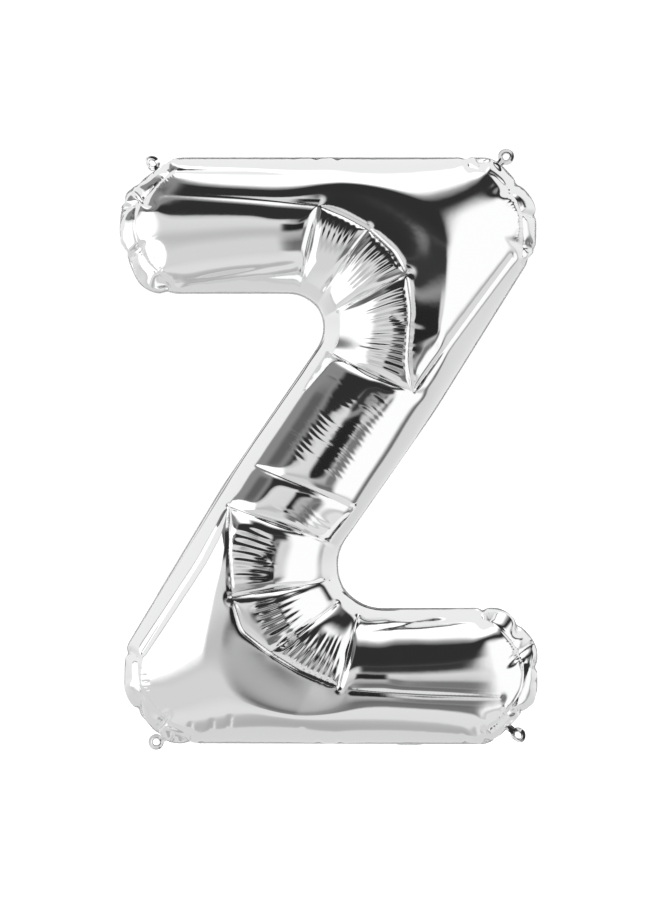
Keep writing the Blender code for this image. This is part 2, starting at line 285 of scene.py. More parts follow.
flatSheet = {
    # corners of half the sheet before it is filled: x, z and
    # fillet radius, m; the rest is this turned by half a turn
    "half": [(0.2025, 0.4329, 0.052), (0.2657, 0.3555, 0.058), (0.2650, 0.2889, 0.065),
             (0.1708, 0.0569, 0.195), (0.0730, -0.1954, 0.030), (0.1693, -0.2345, 0.065),
             (0.3024, -0.2824, 0.050), (0.3300, -0.3690, 0.060), (0.3089, -0.4364, 0.055),
             (0.2313, -0.4830, 0.050), (0.0184, -0.4675, 0.130)],
    # small dents in the border, where the filled rim gathers
    "darts": [(-0.243, 0.484), (-0.292, 0.453), (-0.321, 0.419), (-0.336, 0.334), (-0.273, 0.257),
              (0.185, 0.456), (0.253, 0.399), (0.279, 0.338), (0.283, 0.285), (0.265, -0.257),
              (0.308, -0.305), (0.329, -0.374), (0.292, -0.451), (0.235, -0.490), (-0.274, -0.288),
              (-0.255, -0.388), (-0.225, -0.417), (-0.173, -0.446)],
    "dartDepth": 0.003,
    "steps": (0.024, 0.012, 0.006, 0.003),      # edge length of the net at each round
    "rounds": (700, 700, 800, 900),             # moves at each round
    "pressure": 0.005,
    "heft": 0.085,         # of the film, by its area
    "drag": 0.99,          # share of its speed that a point keeps
    "stiffness": 0.005,
    "seamStiffness": 0.03,
    "seamPull": 0.08,      # share of its way to the seam line that a border point takes in a move
    "seamGather": 0.01,    # how far the seam resists being gathered, of full resistance
    "heightShare": 0.975,  # of the height worked out; set so that it lies nearer to the solids
}
# creases of the full balloon, in mm: x, z and depth of
# points from end to end, then how far the crease fades out
creases = {
    "armUpper": ([(-14, 312, 4), (-25, 261, 9), (-36, 214, 4)], 5),
    "fanUpperFirst": ([(50, 280, 4), (17, 235, 8), (-16, 190, 4)], 5),
    "fanUpperSecond": ([(98, 225, 4), (46, 198, 8), (-5, 174, 4)], 5),
    "strokeUpper": ([(106, 75, 5), (50, 100, 10), (-5, 130, 4)], 6),
    "foldUpper": ([(-14, 312, 3), (20, 298, 3), (52, 280, 4), (81, 253, 4), (98, 223, 3), (104, 178, 2),
                   (100, 115, 2), (106, 75, 5)], 2.5),
    "strokeMiddle": ([(-104, -16, 2), (-37, -42, 4), (27, -72, 2)], 4),
    "strokeLower": ([(-128, -71, 5), (-62, -93, 9), (5, -119, 4)], 6),
    "fanLowerFirst": ([(-122, -185, 4), (-59, -174, 8), (-1, -166, 4)], 5),
    "fanLowerSecond": ([(-71, -253, 4), (-33, -227, 8), (9, -196, 4)], 5),
    "armLower": ([(14, -299, 4), (24, -258, 9), (36, -214, 4)], 5),
    "foldLower": ([(-128, -71, 6), (-127, -126, 2), (-122, -185, 2), (-109, -227, 3), (-75, -254, 4),
                   (-37, -278, 3), (14, -299, 3)], 2.5),
    # long shallow ones that tension draws from the elbows to the gathers of the arm ends
    "alongTop": ([(-195, 361, 3), (-100, 359, 2), (-14, 352, 0)], 2.5),
    "alongUpperArm": ([(-214, 330, 2), (-113, 322, 3), (-14, 312, 4)], 8),
    "alongUnderside": ([(-205, 216, 1), (-120, 228, 2), (-36, 240, 1)], 4),
    "alongRightEdge": ([(236, 250, 4), (200, 202, 4), (166, 156, 4), (110, 79, 4)], 3),
    "alongLeftEdge": ([(-128, -71, 4), (-163, -140, 4), (-202, -200, 4), (-240, -260, 4)], 2.5),
    "alongLowerArmTop": ([(42, -230, 1), (117, -221, 2), (190, -214, 1)], 4),
    "alongLowerArm": ([(28, -304, 2), (122, -311, 3), (220, -316, 2)], 6),
    # small gathers across the lower seam
    "gatherFirst": ([(-181, -376, 4), (-177, -350, 1)], 1.5),
    "gatherSecond": ([(-152, -374, 4), (-149, -346, 1)], 1.5),
    "gatherThird": ([(-131, -374, 4), (-126, -340, 1)], 1.5),
    "gatherFourth": ([(-38, -374, 3), (-34, -356, 1)], 1.5),
    # from gather to gather round each arm end, inside the lobes of the rim
    "lobesTopLeft": ([(-201, 362, 4), (-216, 350, 2), (-231, 333, 4), (-250, 316, 4), (-252, 288, 2),
                      (-245, 262, 4), (-231, 238, 2), (-209, 221, 4)], 3),
    "lobesTopRight": ([(180, 366, 3), (212, 356, 1), (231, 338, 4), (243, 322, 2), (249, 304, 4),
                       (251, 278, 2), (250, 254, 4)], 3),
    "lobesBottomLeft": ([(-247, -266, 4), (-246, -296, 2), (-234, -325, 4), (-222, -340, 2), (-206, -353, 4),
                         (-180, -365, 3)], 3),
    "lobesBottomRight": ([(200, -218, 4), (218, -226, 2), (231, -239, 4), (245, -258, 2), (252, -281, 4),
                          (248, -306, 2), (236, -327, 4), (223, -345, 2), (207, -357, 4)], 3),
}
creaseForm = {"rounding": 0.0012, "spacing": 0.001, "evening": 60, "reach": 6}    # m, m, passes, fades
# where the net is made finer, by ripple height and crease depth, m: once, then once more at the creases
finer = {"ripple": 0.00008, "crease": 0.0020, "deepCrease": 0.0036}
elbows = {
    # middle of the fan of creases about each inner corner, where the inner
    # seam enters the bend and leaves it (x, z), how high the stroke's crest
    # stands at these two ends, and how far the circle goes on behind it there
    "upper": {"middle": (-0.047, 0.151), "from": (-0.036, 0.203), "to": (-0.015, 0.134),
              "ends": (0.077, 0.084), "falls": (0.46, 0.12)},
    "lower": {"middle": (0.056, -0.153), "from": (0.009, -0.121), "to": (0.036, -0.203),
              "ends": (0.084, 0.077), "falls": (0.12, 0.46)},
    "reach": 0.32,                   # nothing past this way from the middle is bent
    "rise": 0.009,                   # of the crest half way, above the mean of its ends
    "halfStrokes": (0.0875, 0.108),  # from the inner seam to the crest, at the ends and half way
    "fadeAlong": 0.060,              # along the seam, from the fan into the straight strokes
    "fadeAcross": (0.130, 0.280),
    "behindCrest": (0.080, 0.105),   # from here on it only lowers the filled form
    "softness": 0.002,               # of the change from the one to the other
    "alongBlur": 0.0006,
    "ironed": (0.185, 0.235),        # the filled form's own folds are evened out up to here
    "levelled": (0.10, 0.16),
    "passes": 60,
    "strayReach": 0.09,
    "mirrored": 0.6,                 # share of its way out that a stray point goes back in
}
seamLine = {
    # where the seam lies once the balloon is full: corners' x and z, m, with the radius that rounds them
    "corners": [(0.2150, 0.3815, 0.040), (0.2700, 0.3230, 0.045), (0.2690, 0.2620, 0.050),
                (0.1380, 0.0520, 0.150), (-0.0413, -0.2045, 0.057), (0.2270, -0.2035, 0.035),
                (0.2710, -0.2500, 0.035), (0.2710, -0.3200, 0.035), (0.2120, -0.3810, 0.030),
                (-0.2130, -0.3800, 0.040), (-0.2670, -0.3170, 0.045), (-0.2650, -0.2560, 0.050),
                (-0.1380, -0.0450, 0.150), (0.0334, 0.2045, 0.045), (-0.2440, 0.2045, 0.040),
                (-0.2730, 0.2800, 0.060), (-0.2680, 0.3350, 0.045), (-0.2010, 0.3815, 0.040)],
    "notches": [(-0.203, 0.370), (-0.239, 0.335), (-0.255, 0.320), (-0.250, 0.263), (-0.211, 0.212),
                (0.179, 0.378), (0.239, 0.342), (0.256, 0.306), (0.257, 0.252), (0.200, -0.207),
                (0.237, -0.233), (0.261, -0.281), (0.243, -0.329), (0.212, -0.367), (-0.255, -0.264),
                (-0.241, -0.329), (-0.212, -0.361), (-0.179, -0.376)],
    "notchDepth": 0.0035,
    "inset": 0.0012,       # the flange that stands outside it
    "spacing": 0.0015,     # of the points that guide the border
}


def runOf(points):
    # the length from the first point to each of them
    return np.concatenate([[0], np.cumsum(np.linalg.norm(np.diff(points, axis=0), axis=1))])


def outwardOf(ring, reach=1):
    # the unit normal at each point of a closed line, from
    # the sum of the chords over up to that many neighbours
    tangent = sum(np.roll(ring, -k, axis=0) - np.roll(ring, k, axis=0) for k in range(1, reach + 1))
    tangent /= np.linalg.norm(tangent, axis=1, keepdims=True)
    return np.stack([-tangent[:, 1], tangent[:, 0]], axis=1)


def filletedOutline(corners, darts, depth, dartWidth=0.004, perFillet=60):
    # each corner gives way to an arc that touches both of its sides: centre on the bisector,
    # r / sin(half angle) away; a dart is a dent of exp(-(distance / width)^2) in the finished line
    spots = np.array([c[:2] for c in corners])
    points = []
    for i, (x, z, radius) in enumerate(corners):
        before = spots[i - 1] - spots[i]
        after = spots[(i + 1) % len(spots)] - spots[i]
        before /= np.linalg.norm(before)
        after /= np.linalg.norm(after)
        half = math.acos(float(before @ after)) / 2
        middle = (before + after) / np.linalg.norm(before + after)
        centre = spots[i] + middle * radius / math.sin(half)
        start = spots[i] + before * radius / math.tan(half) - centre
        side = np.sign(before[0] * after[1] - before[1] * after[0])
        turn = np.linspace(0, -side * (math.pi - 2 * half), perFillet)
        arc = np.stack([start[0] * np.cos(turn) - start[1] * np.sin(turn),
                        start[0] * np.sin(turn) + start[1] * np.cos(turn)], axis=1)
        points.append(centre + arc)
    outline = measured(np.vstack(points + [points[0][:1]]))
    whole = outline["whole"]
    fine = np.linspace(0, whole, 6000)[:-1]
    line = outlineAt(outline, fine)
    outward = outwardOf(line)
    places = [fine[np.argmin(((line - spot) ** 2).sum(axis=1))] for spot in np.array(darts)]
    for place in places:
        away = (fine - place + whole / 2) % whole - whole / 2
        line = line - outward * (depth * np.exp(-(away / dartWidth) ** 2))[:, None]
    outline = measured(np.vstack([line, line[:1]]))
    outline["darts"] = sorted(outline["lengths"][np.argmin(np.abs(fine - place))] for place in places)
    return outline


def measured(closed):
    lengths = runOf(closed)
    return {"points": closed, "lengths": lengths, "whole": lengths[-1]}


def outlineAt(outline, distance):
    # the point that lies this far round the outline
    distance = np.mod(distance, outline["whole"])
    return np.stack([np.interp(distance, outline["lengths"], outline["points"][:, k])
                     for k in (0, 1)], axis=-1)


def insideOutline(points, ring):
    # even and odd crossings of a level ray with every side of the ring, all at once
    x, z = points[:, :1], points[:, 1:]
    ax, az = ring[:, 0], ring[:, 1]
    bx, bz = np.roll(ax, -1), np.roll(az, -1)
    rise = np.where(bz == az, 1e-12, bz - az)
    crosses = ((az > z) != (bz > z)) & (x < (bx - ax) * (z - az) / rise + ax)
    return crosses.sum(axis=1) % 2 == 1


def evenNet(outline, step):
    # an even net of triangles inside the outline, its border points one step apart along it
    stops = np.array(outline["darts"])
    gaps = np.diff(np.append(stops, stops[0] + outline["whole"]))
    arc = np.concatenate([stop + np.linspace(0, gap, max(round(gap / step), 1), endpoint=False)
                          for stop, gap in zip(stops, gaps)])
    arc = np.sort(arc % outline["whole"])
    count = len(arc)
    border = outlineAt(outline, arc)
    rows = np.arange(-0.52, 0.52, step * math.sqrt(3) / 2)
    columns = np.arange(-0.36, 0.36, step)
    x, z = np.meshgrid(columns, rows)
    x = x + (np.arange(len(rows)) % 2)[:, None] * step / 2
    points = np.stack([x.ravel(), z.ravel()], axis=1)
    points = points[insideOutline(points, border)]
    gap = np.sqrt(((points[:, None] - border[None]) ** 2).sum(axis=2)).min(axis=1)
    points = points[gap > step * 0.6]
    ring = [(i, (i + 1) % count) for i in range(count)]
    made = delaunay_2d_cdt([Vector(p) for p in np.vstack([border, points])], ring, [], 1, 1e-7)
    flat = np.array([tuple(p) for p in made[0]])
    faces = np.array(made[2])
    a, b = flat[faces[:, 1]] - flat[faces[:, 0]], flat[faces[:, 2]] - flat[faces[:, 0]]
    wrong = a[:, 0] * b[:, 1] - a[:, 1] * b[:, 0] < 0
    faces[wrong] = faces[wrong][:, ::-1]
    around = np.full(len(flat), -1.0)
    around[:count] = arc
    return {"flat": flat, "faces": faces, "around": around, "darts": np.array(outline["darts"])}


def edgesOf(faces):
    sides = np.concatenate([faces[:, [0, 1]], faces[:, [1, 2]], faces[:, [2, 0]]])
    edges, which, uses = np.unique(np.sort(sides, axis=1), axis=0, return_inverse=True, return_counts=True)
    return edges, which.reshape(3, -1).T, uses


def halved(outline, net, filled):
    # every triangle gives four; the new border points lie on the outline, half way between their neighbours
    flat, faces, around = net["flat"], net["faces"], net["around"]
    edges, which, uses = edgesOf(faces)
    middleFlat = flat[edges].mean(axis=1)
    middleFilled = filled[edges].mean(axis=1)
    middleAround = np.full(len(edges), -1.0)
    rim = uses == 1
    first, second = around[edges[rim, 0]], around[edges[rim, 1]]
    across = np.abs(first - second) > outline["whole"] / 2
    middle = (first + second) / 2
    middle[across] = np.mod(middle[across] + outline["whole"] / 2, outline["whole"])
    middleAround[rim] = middle
    middleFlat[rim] = outlineAt(outline, middle)
    ab, bc, ca = (len(flat) + which[:, k] for k in range(3))
    a, b, c = faces.T
    faces = np.concatenate([np.stack(t, axis=1)
                            for t in ((a, ab, ca), (ab, b, bc), (ca, bc, c), (ab, bc, ca))])
    finer = {"flat": np.vstack([flat, middleFlat]), "faces": faces,
             "around": np.concatenate([around, middleAround]), "darts": net["darts"]}
    return finer, np.vstack([filled, middleFilled])


def edgeGroups(edges, count):
    # groups of edges that share no point, picked by a seeded draw, so that each group can be moved at once
    draw = np.random.default_rng(1)
    left = np.arange(len(edges))
    groups = []
    while len(left):
        free, picked, used = left, [], np.zeros(count, bool)
        while len(free):
            key = draw.permutation(len(free)).astype(np.int64)
            lowest = np.full(count, len(free) + 1)
            np.minimum.at(lowest, edges[free, 0], key)
            np.minimum.at(lowest, edges[free, 1], key)
            won = free[(lowest[edges[free, 0]] == key) & (lowest[edges[free, 1]] == key)]
            picked.append(won)
            used[edges[won]] = True
            free = free[~(used[edges[free, 0]] | used[edges[free, 1]])]
        group = np.sort(np.concatenate(picked))
        groups.append(group)
        keep = np.ones(len(edges), bool)
        keep[group] = False
        left = left[keep[left]]
    return groups


def neighbourTable(edges, count):
    # each point's neighbours in one row, short rows filled with the point itself
    both = np.concatenate([edges, edges[:, ::-1]])
    both = both[np.argsort(both[:, 0], kind="stable")]
    start = np.searchsorted(both[:, 0], np.arange(count))
    widest = int(np.bincount(both[:, 0], minlength=count).max())
    table = np.repeat(np.arange(count)[:, None], widest, axis=1)
    table[both[:, 0], np.arange(len(both)) - start[both[:, 0]]] = both[:, 1]
    return table


def averageOff(table, values):
    # mean of the neighbours less the point's own value
    total = values[table[:, 0]].copy()
    for column in range(1, table.shape[1]):
        total += values[table[:, column]]
    return total / table.shape[1] - values


def seamGuide(line):
    # evenly spaced points along the seam's place, the inset
    # inside the corners' line, with the way outwards at each
    outline = filletedOutline(line["corners"], line["notches"], line["notchDepth"])
    spots = outlineAt(outline, np.arange(0, outline["whole"], line["spacing"]))
    outward = outwardOf(spots)
    return {"spots": spots - outward * line["inset"], "outward": outward, "spacing": line["spacing"]}


def laidOn(net, filled, guide, turns=12):
    # the turn and shift in the seam's plane that best lay the
    # border on the guide: nearest points, singular values
    filled = filled.copy()
    border = net["around"] >= 0
    for _ in range(turns):
        ring = filled[border][:, [0, 2]]
        nearest = guide["spots"][((ring[:, None] - guide["spots"][None]) ** 2).sum(axis=2).argmin(axis=1)]
        u, _, v = np.linalg.svd((ring - ring.mean(axis=0)).T @ (nearest - nearest.mean(axis=0)))
        filled[:, [0, 2]] = (filled[:, [0, 2]] - ring.mean(axis=0)) @ (u @ v) + nearest.mean(axis=0)
    return filled


def blowUp(net, filled, moves, step, sheet, guide=None):
    # Half of a sealed pair of sheets under pressure. Every move: speed * drag, plus pressure
    # along the sheet's normals, less bending (twice the average-off). Then each edge goes
    # back to its flat length, fully where it is stretched and as far as a film resists where
    # it is short. The border stays in the seam's plane and may gather, not stretch. With a
    # guide it also goes a share of its way to the guide's line, square to that line.
    flat, faces = net["flat"], net["faces"]
    count = len(flat)
    edges, _, uses = edgesOf(faces)
    length = np.linalg.norm(flat[edges[:, 0]] - flat[edges[:, 1]], axis=1).astype(np.float32)
    give = np.full(len(edges), 0.5, np.float32)
    bend = np.float32(sheet["stiffness"])
    seamBend = np.float32(sheet["seamStiffness"])
    give[uses == 1] = sheet["seamGather"]
    groups = [(edges[g, 0].copy(), edges[g, 1].copy(), length[g], give[g]) for g in edgeGroups(edges, count)]
    border = np.nonzero(net["around"] >= 0)[0]
    border = border[np.argsort(net["around"][border])]
    links = len(border)
    borderLength = np.linalg.norm(flat[border] - flat[np.roll(border, -1)], axis=1).astype(np.float32)
    loose = np.isin(np.round(net["around"][border], 6), np.round(net["darts"], 6))
    even = np.arange(0, links - 1, 2)
    odd = np.arange(1, links - 1, 2)
    chain = [(even, even + 1), (odd, odd + 1), (np.array([links - 1]), np.array([0]))]
    table = neighbourTable(edges, count)
    area = 0.5 * np.abs(np.cross(flat[faces[:, 1]] - flat[faces[:, 0]],
                                 flat[faces[:, 2]] - flat[faces[:, 0]])).sum()
    strength = np.float32(sheet["pressure"] * step * step / sheet["heft"] / (area / count) / 6.0)
    if guide is not None:
        spots, outward = guide["spots"].astype(np.float32), guide["outward"].astype(np.float32)
        window = np.arange(-3, 4)
        nearest = ((filled[border][:, None, [0, 2]] - spots[None]) ** 2).sum(axis=2).argmin(axis=1)
    inner = net["around"] < 0
    now = filled.astype(np.float32).copy()
    jolt = np.random.default_rng(0).normal(size=(int(inner.sum()), 3)).astype(np.float32)
    now[inner] += jolt * np.float32(step * 0.02)
    before = now.copy()
    push = None
    first, second, third = faces.T
    for move in range(moves):
        speed = (now - before) * np.float32(sheet["drag"])
        before = now.copy()
        if move % 4 == 0:
            arm = now - now.mean(axis=0)
            speed = speed - speed.mean(axis=0)
            spin = ((arm[:, 0] * speed[:, 2] - arm[:, 2] * speed[:, 0]).sum()
                    / (arm[:, 0] ** 2 + arm[:, 2] ** 2).sum())
            speed[:, 0] += spin * arm[:, 2]
            speed[:, 2] -= spin * arm[:, 0]
            a, b = now[second] - now[first], now[third] - now[first]
            areaVector = (a[:, 1] * b[:, 2] - a[:, 2] * b[:, 1], a[:, 2] * b[:, 0] - a[:, 0] * b[:, 2],
                          a[:, 0] * b[:, 1] - a[:, 1] * b[:, 0])
            push = np.stack([sum(np.bincount(corner, part, count) for corner in (first, second, third))
                             for part in areaVector], axis=1).astype(np.float32) * strength
            off = averageOff(table, now)
            off[border] = 0
            off = averageOff(table, off)
            off[border] = 0
            push -= off * bend
        now = now + speed + push
        for a, b, rest, weak in groups:
            pa, pb = now[a], now[b]
            gap = pb - pa
            long = np.sqrt(np.einsum("ij,ij->i", gap, gap))
            share = (long - rest) / long
            share *= np.where(share > 0, np.float32(0.5), weak)
            gap *= share[:, None]
            now[a] = pa + gap
            now[b] = pb - gap
        now[border, 1] = 0
        ring = now[border]
        off = (np.roll(ring, 1, axis=0) + np.roll(ring, -1, axis=0)) / 2 - ring
        off[loose] = 0
        ring -= ((np.roll(off, 1, axis=0) + np.roll(off, -1, axis=0)) / 2 - off) * seamBend
        for _ in range(6):
            for a, b in chain:
                gap = ring[b] - ring[a]
                long = np.sqrt(np.einsum("ij,ij->i", gap, gap))
                gap *= (np.maximum(long - borderLength[a], 0) / long * np.float32(0.5))[:, None]
                ring[a] += gap
                ring[b] -= gap
        if guide is not None:
            near = (nearest[:, None] + window) % len(spots)
            way = spots[near] - ring[:, None, [0, 2]]
            best = (way ** 2).sum(axis=2).argmin(axis=1)
            nearest = near[np.arange(links), best]
            off = (way[np.arange(links), best] * outward[nearest]).sum(axis=1) * np.float32(sheet["seamPull"])
            ring[:, [0, 2]] += outward[nearest] * off[:, None]
        now[border] = ring
        np.minimum(now[:, 1], 0, out=now[:, 1])
    return now


def fillBalloon(sheet, guide):
    corners = sheet["half"] + [(-x, -z, radius) for x, z, radius in sheet["half"]]
    outline = filletedOutline(corners, sheet["darts"], sheet["dartDepth"])
    steps, rounds = sheet["steps"], sheet["rounds"]
    net = evenNet(outline, steps[0])
    filled = np.zeros((len(net["flat"]), 3))
    filled[:, 0], filled[:, 2] = net["flat"].T
    filled[net["around"] < 0, 1] = -0.01
    a, b, c = (net["flat"][net["faces"][:, k]] for k in range(3))
    if ((b - a)[:, 0] * (c - a)[:, 1] - (b - a)[:, 1] * (c - a)[:, 0]).sum() < 0:
        net["faces"] = net["faces"][:, ::-1].copy()
    for turn, (step, moves) in enumerate(zip(steps, rounds)):
        filled = blowUp(net, filled, moves, step, sheet, guide if turn > 0 else None)
        if turn == 0:
            filled = laidOn(net, filled, guide)
        report(f"filled at {step * 1000:.0f} mm, {len(filled)} points, "
               f"{-filled[:, 1].min() * 1000:.0f} mm high")
        if turn < len(steps) - 1:
            net, filled = halved(outline, net, filled)
    return net, filled.astype(float)


def smoothed(net, filled, passes=4):
    # a little of the neighbours' mean, then a little less back, so that noise goes and size stays
    table = neighbourTable(edgesOf(net["faces"])[0], len(filled))
    border = net["around"] >= 0
    for _ in range(passes):
        for share in (0.5, -0.52):
            step = averageOff(table, filled) * share
            step[border] = 0
            filled = filled + step
    return filled


seam = seamGuide(seamLine)
net, filled = fillBalloon(flatSheet, seam)
filled = smoothed(net, filled)
filled[:, 1] *= flatSheet["heightShare"]
report("the filled sheet is smoothed")


def easing(value, start, end):
    # 0 before start, 1 after end, 3t^2 - 2t^3 between
    t = np.clip((value - start) / (end - start), 0, 1)
    return t * t * (3 - 2 * t)


def evened(points, faces, amount, passes, back=0.52):
    # every pass takes half of the way to the mean of the neighbours, then some back, times the point's amount
    edges = edgesOf(faces)[0]
    a, b = edges.T
    number = np.bincount(edges.ravel(), minlength=len(points))[:, None]
    for _ in range(passes):
        for share in (0.5, -back) if back else (0.5,):
            total = np.stack([np.bincount(a, points[b, k], len(points))
                              + np.bincount(b, points[a, k], len(points))
                              for k in range(3)], axis=1)
            points = points + (total / number - points) * (share * amount)[:, None]
    return points


def wayFrom(elbow, filled):
    return np.linalg.norm(filled[:, [0, 2]] - np.array(elbow["middle"]), axis=1)


def bent(net, filled, guide, table):
    # In a bend the stroke keeps its round section. With d the way from the inner seam and
    # a half the stroke's width, its height is top * sqrt(1 - (1 - d / a)^2), top and a
    # growing as sin^2 through the bend. Behind the crest 1 - d / a becomes
    # fall * tanh((1 - d / a) / fall), and it fades into the filled form there and along the strokes.
    border = net["around"] >= 0
    both = table["upper"], table["lower"]
    aways = [wayFrom(elbow, filled) for elbow in both]
    for away in aways:
        amount = (1 - easing(away, *table["ironed"])) * ~border
        filled = evened(filled, net["faces"], amount, 3 * table["passes"])
        level = evened(filled, net["faces"], amount * (1 - easing(away, *table["levelled"])),
                       table["passes"], back=0)
        filled = np.stack([level[:, 0], filled[:, 1], level[:, 2]], axis=1)
    spots = guide["spots"]
    count = len(spots)
    # points that the evening drew across the inner seam go back inside it, mirrored in its nearest spot
    place = filled[:, [0, 2]]
    for elbow in both:
        near = np.nonzero((wayFrom(elbow, filled) < table["strayReach"]) & ~border)[0]
        astray = near[~insideOutline(place[near], spots)]
        nearest = spots[((place[astray][:, None] - spots[None]) ** 2).sum(axis=2).argmin(axis=1)]
        filled[np.ix_(astray, [0, 2])] = nearest + table["mirrored"] * (nearest - place[astray])
    place = filled[:, [0, 2]]
    for elbow in both:
        first, last = (int(((spots - np.array(elbow[end])) ** 2).sum(axis=1).argmin())
                       for end in ("from", "to"))
        forth, back = (last - first) % count, (first - last) % count
        start, length = (first, forth) if forth < back else (last, back)
        ends, falls = (elbow[name] if forth < back else elbow[name][::-1] for name in ("ends", "falls"))
        extra = int(table["fadeAlong"] / guide["spacing"])
        row = np.arange(-extra, length + extra + 0.01, 0.25)
        whole = np.floor(row).astype(int)
        rest = (row - whole)[:, None]
        inner = spots[(start + whole) % count] * (1 - rest) + spots[(start + whole + 1) % count] * rest
        near = np.nonzero(wayFrom(elbow, filled) < table["reach"])[0]
        gap = np.sqrt(((place[near][:, None] - inner[None]) ** 2).sum(axis=2))
        way = gap.min(axis=1)
        # the place along the seam is a mean weighted by exp(-(gap - way) / blur), so that it never jumps
        weight = np.exp((way[:, None] - gap) / table["alongBlur"])
        along = (weight * row).sum(axis=1) / weight.sum(axis=1) / length
        fade = extra / length
        amount = (easing(along, -fade, 0) * (1 - easing(along, 1, 1 + fade))
                  * (1 - easing(way, *table["fadeAcross"])))
        inside = np.clip(along, 0, 1)
        swell = np.sin(np.pi * inside) ** 2
        top = ends[0] + (ends[1] - ends[0]) * inside + table["rise"] * swell
        half = table["halfStrokes"][0] + (table["halfStrokes"][1] - table["halfStrokes"][0]) * swell
        share = 1 - way / half
        fall = falls[0] + (falls[1] - falls[0]) * inside
        share = np.where(share < 0, fall * np.tanh(share / fall), share)
        height = top * np.sqrt(1 - share ** 2)
        # the soft lesser of the two past the crest
        film = -filled[near, 1]
        lesser = (height + film) / 2 - np.sqrt(((height - film) / 2) ** 2 + table["softness"] ** 2)
        height += (lesser - height) * easing(way, *table["behindCrest"])
        filled[near, 1] += (film - height) * amount * ~border[near]
    return filled


def creaseDrop(x, z, lines):
    # the deepest of the creases at each place, each
    # depth * exp(-(sqrt(distance^2 + r^2) - r) / fade), r its rounding
    drop = np.zeros_like(x)
    soft = creaseForm["rounding"]
    for points, fade in lines.values():
        points, fade = np.array(points) * 0.001, fade * 0.001
        run = runOf(points[:, :2])
        along = np.linspace(0, run[-1], max(24, int(run[-1] / creaseForm["spacing"])))
        line = np.stack([np.interp(along, run, points[:, k]) for k in range(3)], axis=1)
        for _ in range(creaseForm["evening"]):
            line[1:-1] = (line[:-2] + 2 * line[1:-1] + line[2:]) / 4
        reach = fade * creaseForm["reach"]
        low, high = line.min(axis=0) - reach, line.max(axis=0) + reach
        near = np.nonzero((x > low[0]) & (x < high[0]) & (z > low[1]) & (z < high[1]))[0]
        across, up = x[near][:, None] - line[:, 0], z[near][:, None] - line[:, 1]
        gap = np.sqrt(across ** 2 + up ** 2 + soft ** 2) - soft
        drop[near] = np.maximum(drop[near], (line[:, 2] * np.exp(-gap / fade)).max(axis=1))
    return drop


ripples = {
    "seed": 7,
    # fans of ridges that run from an inner corner outwards: corner's x and z, first and last angle, degrees,
    # inner and outer radius, height, m, angle from ridge to ridge, degrees
    "fans": {
        "upperFirst": (-0.0468, 0.1508, 56, 78, 0.095, 0.166, 0.00045, 3.2),
        "upperSecond": (-0.0468, 0.1508, 30, 54, 0.070, 0.168, 0.00065, 3.2),
        "upperThird": (-0.0468, 0.1508, -24, 27, 0.075, 0.160, 0.00050, 3.3),
        "lowerThird": (0.0559, -0.1534, 158, 190, 0.112, 0.186, 0.00060, 3.2),
        "lowerSecond": (0.0559, -0.1534, 192, 218, 0.075, 0.166, 0.00085, 3.6),
        "lowerFirst": (0.0559, -0.1534, 220, 254, 0.085, 0.160, 0.00075, 3.0),
    },
    # ladders of ridges: middle x and z, half length of the run,
    # half width, height, pitch, m, the run's slant, degrees
    "ladders": {
        "strokeLeft": (-0.012, 0.036, 0.060, 0.034, 0.00022, 0.0066, 55.6),
        "strokeRight": (0.040, 0.014, 0.060, 0.030, 0.00018, 0.0066, 55.6),
        "strokeFoot": (-0.030, -0.092, 0.020, 0.050, 0.00020, 0.0072, 55.6),
        "topLeftOver": (-0.213, 0.349, 0.016, 0.008, 0.00050, 0.0040, 44.5),
        "topLeftUnder": (-0.227, 0.242, 0.018, 0.010, 0.00080, 0.0036, -49.0),
        "topRightOver": (0.236, 0.318, 0.013, 0.008, 0.00060, 0.0040, -65.0),
        "topRightUnder": (0.246, 0.284, 0.019, 0.006, 0.00060, 0.0042, -86.0),
        "bottomLeftOver": (-0.236, -0.295, 0.020, 0.008, 0.00060, 0.0042, -78.0),
        "bottomLeftUnder": (-0.216, -0.337, 0.015, 0.008, 0.00050, 0.0038, -48.0),
        "bottomRightOver": (0.240, -0.260, 0.018, 0.009, 0.00070, 0.0040, -60.0),
        "bottomRightUnder": (0.221, -0.344, 0.016, 0.009, 0.00080, 0.0038, 51.0),
    },
}


def ridged(place, count, window, size, tall):
    # sin^2 from each whole number to the next, as tall as that ridge's draw says
    within = (place > 0) & (place < count)
    return np.where(within, size * tall * window * np.sin(np.pi * place) ** 2, 0)


